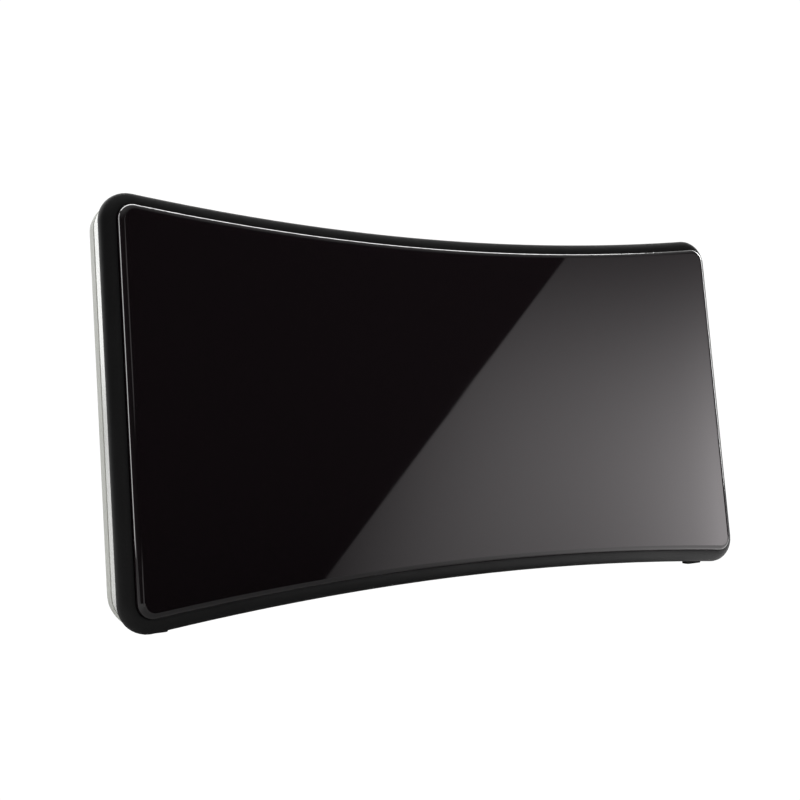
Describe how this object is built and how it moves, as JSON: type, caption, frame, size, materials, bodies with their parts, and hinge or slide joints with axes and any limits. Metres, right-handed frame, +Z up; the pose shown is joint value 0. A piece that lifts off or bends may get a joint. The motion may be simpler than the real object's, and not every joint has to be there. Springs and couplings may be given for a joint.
{
  "type": "indoor tv antenna",
  "caption": "Curved indoor TV antenna: gloss plate in a matte frame, silver side bands, rear pod with aerial and power sockets, rubber feet and a plug-in leg that holds its lean.",
  "frame": {"origin": "middle of the bounding box on the ground", "axes": "+X to the right of someone who looks at the front, +Y from the front to the back, +Z up; the panel leans back 8 degrees"},
  "size_m": [0.2512, 0.0632, 0.1308],
  "materials": {
    "plate_gloss": "high gloss black, moulded",
    "frame_matte": "satin black with a fine grain",
    "trim_silver": "bright silver paint",
    "cover_silver": "satin silver-grey paint",
    "foot_rubber": "matte black rubber",
    "element_sheet": "rolled sheet",
    "tinplate": "tin plated",
    "screw_steel": "zinc plated",
    "socket_nickel": "nickel plated",
    "insulator_white": "moulded white",
    "contact_brass": "plain brass",
    "board_green": "green solder mask",
    "jack_black": "moulded black"
  },
  "bodies": {
    "root": {"front_plate": "plate_gloss", "front_frame": "frame_matte", "trim_band": "trim_silver", "rear_cover": "cover_silver", "foot_left": "foot_rubber", "foot_right": "foot_rubber", "stand_leg": "cover_silver", "stand_pad": "foot_rubber", "element_left": "element_sheet", "element_right": "element_sheet", "element_screws": "screw_steel", "feed_strap_left": "tinplate", "feed_strap_right": "tinplate", "amplifier_board": "board_green", "shield_can": "tinplate", "board_screws": "screw_steel", "coax_socket": "socket_nickel", "coax_insulator": "insulator_white", "coax_contact": "contact_brass", "coax_washer": "socket_nickel", "coax_nut": "socket_nickel", "power_socket": "jack_black", "power_pin": "socket_nickel", "housing_screws": "screw_steel"}
  },
  "joints": []
}
